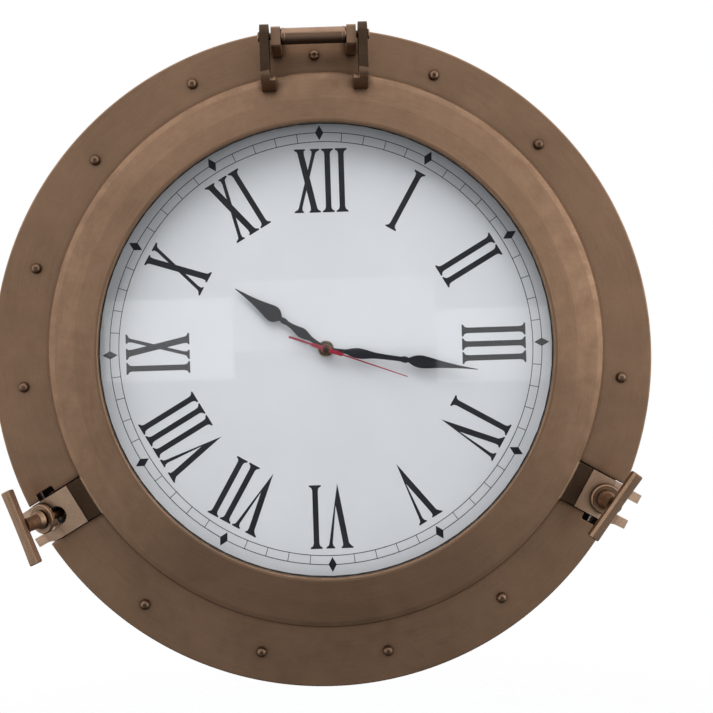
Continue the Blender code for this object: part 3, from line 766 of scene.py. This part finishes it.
def threaded(name, core, crest, pitch, z0, z1, foot, tip, place, around=36, per_turn=10):
    """A rod from foot to a chamfered tip, with a single-start rounded thread from z0 to z1."""
    steps = int((z1 - z0) / pitch * per_turn)
    heights = [z0 + k * pitch / per_turn for k in range(steps + 1)]
    rows = [(foot, False), (z0 - 0.6, False)] + [(z, True) for z in heights]
    rows += [(z1 + 0.5, False), (tip, False)]
    verts, faces = [], []
    for z, cut_here in rows:
        for k in range(around):
            a = 2 * math.pi * k / around
            radius = crest - 0.7 if z == tip else crest
            if cut_here:
                phase = (z / pitch - k / around) % 1.0
                ease = max(0.0, min(1.0, (z - z0) / pitch, (z1 - z) / pitch))
                depth = 0.5 + 0.5 * math.cos(2 * math.pi * phase)
                radius = crest - (crest - core) * ease * depth
            verts.append((radius * math.cos(a), radius * math.sin(a), z))
    for i in range(len(rows) - 1):
        for k in range(around):
            m = (k + 1) % around
            faces.append((i * around + k, i * around + m, (i + 1) * around + m, (i + 1) * around + k))
    faces.append(tuple(range(around)))
    faces.append(tuple(range(len(verts) - around, len(verts))))
    return make(name, verts, faces, place)


HANDLE_Z, HANDLE_HALF = 41.0, 28.1  # along the bolt from its pivot, and along the handle


def handle(frame_of_nut):
    """A cast bar, slightly waisted, with a flat front and broad bevels."""

    def section_at(swell):
        w, h = 4.0 * swell, 4.05 * swell
        low, high = HANDLE_Z - h, HANDLE_Z + h
        left = [(-w + 1.7, high, 0.6), (-w, high - 1.9, 0.6), (-w, low + 1.6, 0.5), (-w + 1.6, low, 0.5)]
        right = [(-x, y, radius) for x, y, radius in reversed(left)]
        return filleted(left[2:] + right + left[:2], 2)

    def shrunk(section, k):
        return [(x * k, HANDLE_Z + (y - HANDLE_Z) * k) for x, y in section]

    steps = [-1 + k / 6 for k in range(13)]
    layers = [(section_at(0.94 + 0.06 * t * t), HANDLE_HALF * t) for t in steps]
    ends = []
    for sign, (section, z) in ((-1, layers[0]), (1, layers[-1])):
        ends.append([(shrunk(section, 0.93), z + sign * 0.55), (shrunk(section, 0.80), z + sign * 0.88)])
    layers = ends[0][::-1] + layers + ends[1]
    return stacked("bar", layers, frame_of_nut @ UPRIGHT)


def dog(side, angle, lean, tilt, lift, twist):
    """The swing bolt with its captive collar and T-handled nut.

    The bolt leans lean degrees outward and tilt degrees sideways, its nut and collar are
    backed off by lift millimetres, and twist turns the handle.
    """
    upright = radial(angle) @ at(PIVOT_R, 0, PIVOT_Z) @ spin(lean, "Y") @ spin(tilt, "X")
    bore = 3.8 if tilt else 2.8
    eye_profile = filleted([(bore, -6.1, 0.3), (5.6, -6.1, 0.5), (5.6, 6.1, 0.5), (bore, 6.1, 0.3)], 3)
    eye = turned("eye_bolt_" + side, eye_profile, 48, upright @ spin(90, "X"))
    shank = threaded(
        "shank", core=3.45, crest=4.0, pitch=2.0, z0=12.0, z1=31.5, foot=4.2, tip=33.0, place=upright
    )
    detail(join(eye, shank), "swing_bolt_" + side, "bolt_bronze")

    raised = upright @ at(0, 0, lift)
    # A flat disc with a rounded rim, its face beaten by hand.
    collar = filleted([(4.4, 18.8, 0.2), (11.5, 18.8, 0.5), (11.5, 21.1, 0.9), (10.5, 21.9, 0.5)], 4)
    collar += [(r, 21.72 + 0.001 * k) for k, r in enumerate((9.8, 9.0, 8.2, 7.4, 6.6, 5.8, 5.1, 4.4))]
    disc = turned("collar_" + side, collar, 72, raised)
    back = raised.inverted()
    for v in disc.data.vertices:
        p = back @ (Vector((v.co.x, v.co.z, -v.co.y)) / MM)
        if p.z > 21.7 and math.hypot(p.x, p.y) < 9.9:
            p.z += 0.13 * noise.noise(Vector((p.x * 0.55 + angle, p.y * 0.55, 0.0)))
            q = raised @ p
            v.co = (q.x * MM, -q.z * MM, q.y * MM)
    detail(disc, "clamp_collar_" + side)

    nut_frame = raised @ spin(twist, "Z")
    stem = [
        (4.3, 22.1, 0.2),
        (7.2, 22.1, 0.5),
        (7.2, 23.2, 0.6),
        (5.6, 26.4, 2.0),
        (5.4, 34.0, 3.0),
        (6.2, 38.6, 0),
        (4.3, 38.6, 0),
    ]
    nut = turned("tee_nut_" + side, filleted(stem, 3), 56, nut_frame)
    join(nut, handle(nut_frame))
    cut(nut, prism("bore", circle(4.3, 40), 34.0, 36.4, place=nut_frame))
    detail(nut, "t_nut_" + side, sharp=44)


for side, angle in DOGS.items():
    lug(side, angle)
dog("right", DOGS["right"], lean=0.0, tilt=0.0, lift=0.0, twist=-6.9)
dog("left", DOGS["left"], lean=25.0, tilt=10.0, lift=3.0, twist=-2.0)


# ------------------------------------------------------------------ the dial

plate = [(4.4, 18.6, 0.1), (177.3, 18.6, 0.2), (177.3, DIAL_Z, 0.3), (4.4, DIAL_Z, 0.2)]
detail(turned("dial_face", filleted(plate, 2), 256), "dial_plate")

INK_LOW, INK_TOP = DIAL_Z - 0.02, DIAL_Z + 0.05


class Ink:
    """Flat printed shapes gathered into one thin mesh."""

    def __init__(self, name, top=INK_TOP):
        self.name, self.top, self.verts, self.faces = name, top, [], []

    def fill(self, *loops):
        """The union of the loops, as a closed flat shape."""
        points = [Vector(p) for loop in loops for p in loop]
        rings, start = [], 0
        for loop in loops:
            rings.append(list(range(start, start + len(loop))))
            start += len(loop)
        points, _, caps, *_ = geometry.delaunay_2d_cdt(points, [], rings, 1, 1e-5)
        self.raise_up([tuple(p) for p in points], [tuple(f) for f in caps])

    def band(self, r0, r1, n=240):
        """A circular line between two radii."""
        points = circle(r0, n) + circle(r1, n)
        self.raise_up(points, [(k, (k + 1) % n, n + (k + 1) % n, n + k) for k in range(n)])

    def raise_up(self, points, caps):
        base, n = len(self.verts), len(points)
        self.verts += [(x, y, INK_LOW) for x, y in points] + [(x, y, self.top) for x, y in points]
        edges = {}
        for face in caps:
            for a, b in zip(face, face[1:] + face[:1]):
                edges[a, b] = edges.get((a, b), 0) + 1
        for a, b in edges:
            if (b, a) not in edges:
                self.faces.append((base + a, base + b, base + n + b, base + n + a))
        self.faces += [tuple(base + i for i in f) for f in caps]
        self.faces += [tuple(base + n + i for i in f) for f in caps]

    def done(self):
        return finish(make(self.name, self.verts, self.faces), "dial_ink", "case", sharp=20)


def polar(clock_deg, radius, across=0.0):
    """A dial point at a clock angle and radius, moved clockwise by across millimetres."""
    a = math.radians(clock_deg)
    return (
        radius * math.sin(a) + across * math.cos(a),
        radius * math.cos(a) - across * math.sin(a),
    )


TRACK_LOW, TRACK_HIGH, LINE_HALF, TICK_HALF = 160.6, 167.6, 0.28, 0.25
track = Ink("minute_track")
for radius in (TRACK_HIGH, TRACK_LOW):
    track.band(radius - LINE_HALF, radius + LINE_HALF)
low, high = TRACK_LOW + 0.27, TRACK_HIGH - 0.27
tick = [(low, -TICK_HALF), (low, TICK_HALF), (high, TICK_HALF), (high, -TICK_HALF)]
for minute in range(60):
    if minute % 5:
        track.fill([polar(minute * 6, r, w) for r, w in tick])
track.done()

diamonds = Ink("hour_diamonds", INK_TOP + 0.02)
diamond = [(173.3, 0), (167.5, 3.2), (161.7, 0), (167.5, -3.2)]
for hour in range(12):
    diamonds.fill([polar(hour * 30, r, w) for r, w in diamond])
diamonds.done()

# Roman numerals with bracketed serifs, tops outward.
TALL, FOOT_R = 49.4, 105.7
BRACKET = 4.4  # how far a serif's bracket climbs its stem


def serif(x, y, half, stem_low, stem_high, up):
    """Half of a bracketed serif on each side of a stem: points from one tip round to the other.

    x is the stem's middle on the serif's line, y that line, and up is 1 at the foot and -1 at the top.
    stem_low and stem_high are the stem's left and right edges where the bracket ends.
    """
    left = [(x - half, y), (x - half, y + up * 1.1), (x - half + 1.1, y + up * 1.7)]
    left += [((x - half + 1.1) * 0.35 + stem_low * 0.65, y + up * 2.5), (stem_low, y + up * BRACKET)]
    right = [(x + half, y), (x + half, y + up * 1.1), (x + half - 1.1, y + up * 1.7)]
    right += [((x + half - 1.1) * 0.35 + stem_high * 0.65, y + up * 2.5), (stem_high, y + up * BRACKET)]
    return left, right


def bar_glyph(x_foot, x_top, width, half_foot, half_top):
    """A stroke from foot to top with a serif at each end."""

    def middle(y):
        return x_foot + (x_top - x_foot) * y / TALL

    w, low, high = width / 2, middle(BRACKET), middle(TALL - BRACKET)
    low_l, low_r = serif(x_foot, 0.0, half_foot, low - w, low + w, 1)
    top_l, top_r = serif(x_top, TALL, half_top, high - w, high + w, -1)
    return low_r + top_r[::-1] + top_l + low_l[::-1]


def glyph_i():
    return [bar_glyph(x_foot=4.6, x_top=4.6, width=4.35, half_foot=4.6, half_top=4.6)], 9.2


def glyph_x():
    thick = bar_glyph(x_foot=16.0, x_top=5.2, width=4.9, half_foot=4.4, half_top=4.3)
    thin = bar_glyph(x_foot=3.7, x_top=16.9, width=2.75, half_foot=3.6, half_top=3.6)
    return [thick, thin], 20.4


def glyph_v():
    """Thick left stroke, thin right stroke, a sharp foot slightly below the line."""
    foot_x, foot_y, drop = 11.2, -0.9, 4.2
    slant = foot_x + (2.6 - foot_x) * (TALL - drop - foot_y) / (TALL - foot_y)
    # Each point is (x, distance below the tops), from the foot up the left stroke's outer
    # edge, down to the counter's corner and up round the right stroke.
    left = [(slant, drop), (1.9, 2.5), (1.1, 1.7), (0.0, 1.1), (0.0, 0.0)]
    left += [(9.2, 0.0), (9.2, 1.1), (8.1, 1.7), (8.0, 2.5), (8.0, BRACKET)]
    right = [(12.9, TALL - 16.2), (15.9, BRACKET), (15.6, 2.5), (15.2, 1.7), (14.2, 1.1), (14.2, 0.0)]
    right += [(20.9, 0.0), (20.9, 1.1), (19.9, 1.7), (19.0, 2.5), (18.5, BRACKET)]
    outer = [(foot_x, foot_y)] + [(x, TALL - down) for x, down in left + right]
    return [outer], 20.9


GLYPHS = {"I": glyph_i, "V": glyph_v, "X": glyph_x}
NUMERALS = ["XII", "I", "II", "III", "IV", "V", "VI", "VII", "VIII", "IX", "X", "XI"]
GAP, WIDE_GAP = 1.5, {"VI": 3.0}
numerals = Ink("roman_numerals")
for hour, text in enumerate(NUMERALS):
    strokes, pen = [], 0.0
    for letter in text:
        shapes, width = GLYPHS[letter]()
        strokes += [[(x + pen, y) for x, y in shape] for shape in shapes]
        pen += width + WIDE_GAP.get(text, GAP)
    half = (pen - WIDE_GAP.get(text, GAP)) / 2
    numerals.fill(*[[polar(hour * 30, FOOT_R + y, x - half) for x, y in shape] for shape in strokes])
numerals.done()


# ------------------------------------------------------------------ the hands


def hand(name, clock_deg, hub, hole, blade, z0, z1, tail=()):
    """A flat pressed hand with a softly rounded face: hub, blade and perhaps a tail."""

    def half(points, inset):
        """One edge of a blade or tail, drawn in by inset, from the hub to the tip."""
        last = len(points) - 1
        return [(max(0.08, w - inset), r - inset * (i == last)) for i, (r, w) in enumerate(points)]

    def outline(inset):
        gap = 8  # degrees between the hub's arc and the blade or tail
        reach = math.degrees(math.asin(blade[0][1] / hub)) + gap
        right = half(blade, inset)
        points = right + [(-x, y) for x, y in reversed(right)]
        if not tail:
            return points + circle(hub - inset, 40, (0, 0), 90 + reach, 360 - 2 * reach, True)
        turn = math.degrees(math.asin(tail[0][1] / hub)) + gap
        sweep = 180 - reach - turn
        points += circle(hub - inset, 12, (0, 0), 90 + reach, sweep, True)
        left = [(-x, -y) for x, y in half(tail, inset)]
        points += left + [(-x, y) for x, y in reversed(left)]
        return points + circle(hub - inset, 12, (0, 0), -90 + turn, sweep, True)

    place = spin(-clock_deg, "Z")
    soft = min(0.22, (z1 - z0) * 0.4)
    rise = ((0, z0), (0, z1 - soft), (soft * 0.35, z1 - soft * 0.35), (soft, z1))
    body = stacked(name, [(outline(inset), z) for inset, z in rise], place)
    return cut(body, prism("hole", circle(hole, 40), z0 - 1, z1 + 1, place=place))


def smooth_blade(points, steps=4):
    """Catmull-Rom through (distance, half width)."""

    def between(a, b, c, d, t):
        bend = (2 * a - 5 * b + 4 * c - d) * t * t + (3 * b - a - 3 * c + d) * t**3
        return 0.5 * (2 * b + (c - a) * t + bend)

    out = []
    for i in range(len(points) - 1):
        four = points[max(0, i - 1)], points[i], points[i + 1], points[min(len(points) - 1, i + 2)]
        for k in range(steps):
            out.append(tuple(between(*values, k / steps) for values in zip(*four)))
    out.append(points[-1])
    return out


HOUR_BLADE = [(5.0, 1.5), (14.0, 1.9), (18.5, 3.2), (22.5, 3.9), (26.0, 3.2), (31.0, 2.1), (36.0, 1.7)]
HOUR_SPADE = [(41.5, 1.6), (43.0, 3.0), (45.5, 5.2), (48.5, 6.2), (52.0, 5.9), (58.0, 4.4), (68.0, 2.3)]
HOUR_SPADE += [(84.0, 0.25)]
MINUTE_BLADE = [(4.4, 1.5), (15.0, 1.8), (19.5, 3.1), (25.0, 4.0), (31.0, 3.5), (38.0, 2.4)]
MINUTE_BLADE += [(50.0, 1.9), (58.0, 1.9)]
MINUTE_SPADE = [(64.0, 1.7), (66.0, 2.8), (70.0, 4.4), (74.5, 4.9), (80.0, 4.3), (90.0, 2.7)]
MINUTE_SPADE += [(104.0, 1.1), (118.0, 0.25)]
SECOND_BLADE = [(1.97, 1.7), (12.5, 1.5), (14.0, 0.6), (30.0, 0.5), (66.0, 0.35)]
SECOND_TAIL = [(1.97, 1.7), (11.0, 1.4), (12.5, 0.7), (30.0, 0.9)]
HOUR_DEG, MINUTE_DEG, SECOND_DEG = 305.3, 99.4, 110.3
HOUR_Z, MINUTE_Z, SECOND_Z = (23.5, 24.1), (25.4, 26.0), (27.0, 27.5)
# A small collar stands between each blade and its spade.
hour_blade = smooth_blade(HOUR_BLADE) + [(38.0, 2.3), (40.0, 2.3)] + smooth_blade(HOUR_SPADE)
minute_blade = smooth_blade(MINUTE_BLADE) + [(60.5, 2.5), (62.5, 2.5)] + smooth_blade(MINUTE_SPADE)
detail(hand("hand_of_hours", HOUR_DEG, 5.2, 2.7, hour_blade, *HOUR_Z), "hour_hand")
detail(hand("hand_of_minutes", MINUTE_DEG, 4.6, 1.75, minute_blade, *MINUTE_Z), "minute_hand")
second = hand("hand_of_seconds", SECOND_DEG, 2.6, 0.75, SECOND_BLADE, *SECOND_Z, SECOND_TAIL)
detail(second, "second_hand")
cap = [(1.2, 27.55, 0), (2.5, 27.55, 0.2), (2.5, 28.3, 0.5), (1.7, 28.9, 0.6), (0, 29.0, 0)]
cap += [(0, 28.0, 0), (1.2, 28.0, 0)]
finish(turned("second_cap", filleted(cap, 3), 40), "cap_copper", "second")
hand_nut = [(1.9, 26.05, 0), (4.1, 26.05, 0.15), (4.1, 26.6, 0.25), (3.6, 26.85, 0.15), (1.9, 26.85, 0)]
finish(turned("hand_nut", filleted(hand_nut, 2), 48), "nut_brass", "minute")

nut_rise = ((0.97, 21.1), (1, 21.35), (1, 22.6), (0.95, 22.9))
nut = stacked("centre_nut", [(circle(5.8 * k, 6, start=15), z) for k, z in nut_rise])
cut(nut, prism("bore", circle(4.1, 40), 20.0, 24.0))
detail(nut, "bush_nut")


# ------------------------------------------------------------------ stage, light and camera

FLOOR_Y, FLOOR_R = -1000.0, 1900.0


def floor_pale():
    """A pale matt floor that fades out before its rim."""
    n = Nodes("floor_pale")
    parts = n.axes()
    flat = n.add("CombineXYZ", {"X": parts["X"], "Y": parts["Y"], "Z": 0.0}).outputs[0]
    shown = n.span(n.vector("LENGTH", flat), 0.9, FLOOR_R * MM, 1.0, 0.0)
    shown = n.math("MULTIPLY", shown, n.add("LightPath").outputs["Is Camera Ray"])
    return n.surface(Base_Color=(0.80, 0.80, 0.79, 1.0), Roughness=0.75, Alpha=shown)


rim = circle(FLOOR_R, 96)
floor = make("floor", [(x, FLOOR_Y, y) for x, y in rim], [tuple(range(96))])
floor.data.materials.append(floor_pale())

world = bpy.data.worlds.new("studio")
world.use_nodes = True
bpy.context.scene.world = world
nodes, links = world.node_tree.nodes, world.node_tree.links
nodes.clear()


def world_node(kind, inputs=None, **props):
    node = nodes.new("ShaderNode" + kind)
    for key, value in props.items():
        setattr(node, key, value)
    for key, value in (inputs or {}).items():
        if isinstance(value, bpy.types.NodeSocket):
            links.new(value, node.inputs[key])
        else:
            node.inputs[key].default_value = value
    return node


def world_span(value, low, high, to_low, to_high):
    named = {"Value": value, "From Min": low, "From Max": high, "To Min": to_low, "To Max": to_high}
    return world_node("MapRange", named, interpolation_type="SMOOTHSTEP").outputs["Result"]


def world_math(op, a, b):
    return world_node("Math", {0: a, 1: b}, operation=op).outputs[0]


# The camera sees plain white; the object is lit by a room that is bright above,
# dark at the floor, and dim straight in front, where the viewer stands.
parts = world_node("SeparateXYZ", {0: world_node("TexCoord").outputs["Generated"]}).outputs
low_part = world_span(parts["Z"], -0.80, 0.0, 0.09, 1.0)
strength = world_math("ADD", low_part, world_span(parts["Z"], 0.0, 0.8, 0.0, 0.07))
strength = world_math("MULTIPLY", strength, world_span(parts["Y"], -0.955, -0.80, 0.07, 1.0))
room = world_node("Background", {"Strength": strength, "Color": (0.97, 0.98, 1.0, 1.0)})
plain_white = world_node("Background", {"Color": (1.0, 1.0, 1.0, 1.0)})
sees = world_node("LightPath").outputs["Is Camera Ray"]
either = world_node("MixShader", {0: sees, 1: room.outputs[0], 2: plain_white.outputs[0]})
world_node("OutputWorld", {"Surface": either.outputs[0]})


def area_light(name, at_m, aim_m, size, power, colour=(1.0, 1.0, 1.0)):
    data = bpy.data.lights.new(name, "AREA")
    data.shape, data.size, data.size_y = "RECTANGLE", size[0], size[1]
    data.energy, data.color = power, colour
    light = bpy.data.objects.new(name, data)
    bpy.context.scene.collection.objects.link(light)
    light.location = at_m
    light.rotation_euler = (Vector(aim_m) - Vector(at_m)).to_track_quat("-Z", "Y").to_euler()
    return light


# Three plain panels in front, for the soft window band that the pane mirrors.
WINDOW_Y = -2.6  # metres, in front of the wall
# Each one's left, right, bottom and top in metres, and its glow.
WINDOWS = [
    (-0.84, -0.35, -0.26, 0.05, 1.45),
    (-0.35, 0.42, -0.16, 0.11, 0.75),
    (0.42, 0.86, -0.30, -0.02, 1.15),
]
for number, (x0, x1, z0, z1, glow) in enumerate(WINDOWS, 1):
    wide, tall = x1 - x0, z1 - z0
    middle = Vector(((x0 + x1) / 2, WINDOW_Y, (z0 + z1) / 2))
    power = glow * math.pi * wide * tall
    area_light("window_%d" % number, middle, middle + Vector((0, 1, 0)), (wide, tall), power)
# This one only fills the dial: it leaves no highlight on the bronze.
sky = area_light("sky", (-0.40, -0.62, 1.50), (0, 0, 0.05), (1.5, 0.9), 30.0)
sky.visible_glossy = False
area_light("fill", (2.2, -1.6, 0.6), (0, 0, 0), (1.4, 1.6), 5.6, (1.0, 0.97, 0.93))

# The camera stands a little above the dial's axis, and its shift puts the dial's
# centre where it belongs in the frame, as shares of its width from the left and the top.
DISTANCE, CAMERA_AT, ROLL = 650.0, (0.0, 40.0), 1.8
LENS, SENSOR = 42.57, 36.0
DIAL_AT = (0.45708, 0.48892)
camera_data = bpy.data.cameras.new("camera")
camera_data.sensor_width, camera_data.lens = SENSOR, LENS
frames_per_mm = LENS / SENSOR / (DISTANCE + FRONT - DIAL_Z)
dial_from_axis = Matrix.Rotation(math.radians(ROLL), 2) @ -Vector(CAMERA_AT) * frames_per_mm
camera_data.shift_x = 0.5 + dial_from_axis.x - DIAL_AT[0]
camera_data.shift_y = DIAL_AT[1] - 0.5 + dial_from_axis.y
camera = bpy.data.objects.new("camera", camera_data)
bpy.context.scene.collection.objects.link(camera)
camera.matrix_world = (
    Matrix.Translation((CAMERA_AT[0] * MM, -(FRONT + DISTANCE) * MM, CAMERA_AT[1] * MM))
    @ spin(90, "X")
    @ spin(-ROLL, "Z")
)
camera_data.clip_start, camera_data.clip_end = 0.02, 50.0
bpy.context.scene.camera = camera
bpy.context.scene.view_settings.view_transform = "Standard"
